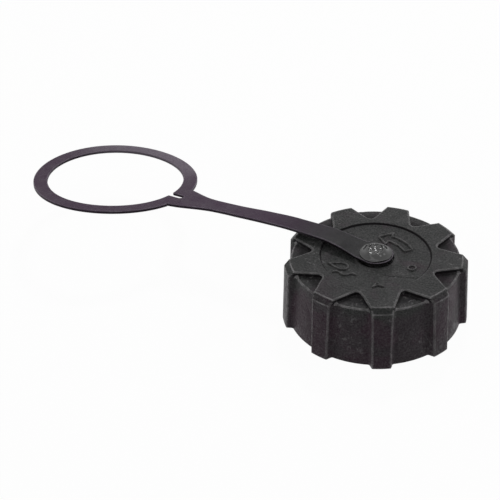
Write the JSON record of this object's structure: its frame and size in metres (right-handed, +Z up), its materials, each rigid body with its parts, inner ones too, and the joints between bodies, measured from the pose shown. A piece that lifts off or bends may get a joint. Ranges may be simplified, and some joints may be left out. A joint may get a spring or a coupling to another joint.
{
  "type": "vented fuel cap",
  "caption": "Round screw-on fuel cap with grip lugs and a star-shaped top, vented through its centre, with a swivelling tether that ends in a split neck ring.",
  "frame": {"origin": "centre of the open base rim, on the neck thread's axis", "axes": "+Z up the cap's axis, away from the tank neck; -X along the tether towards its neck ring"},
  "size_m": [0.1894, 0.0717, 0.0302],
  "materials": {
    "cap_plastic": "fine matte moulded surface, scuffed",
    "tether_plastic": "smooth matte moulded surface",
    "seal_rubber": "matte rubber",
    "baffle_plastic": "smooth moulded",
    "filter_foam": "open-cell foam",
    "valve_rubber": "smooth rubber"
  },
  "bodies": {
    "cap": {"cap_body": "cap_plastic", "seal_gasket": "seal_rubber", "vent_baffle": "baffle_plastic", "vent_filter": "filter_foam", "vent_valve": "valve_rubber"},
    "tether": {"tether_strap": "tether_plastic"}
  },
  "joints": [
    {"name": "tether_swivel", "type": "hinge", "parent": "cap", "child": "tether", "pos_m": [0, 0, 0.02678], "axis": [0, 0, 1], "continuous": true}
  ]
}
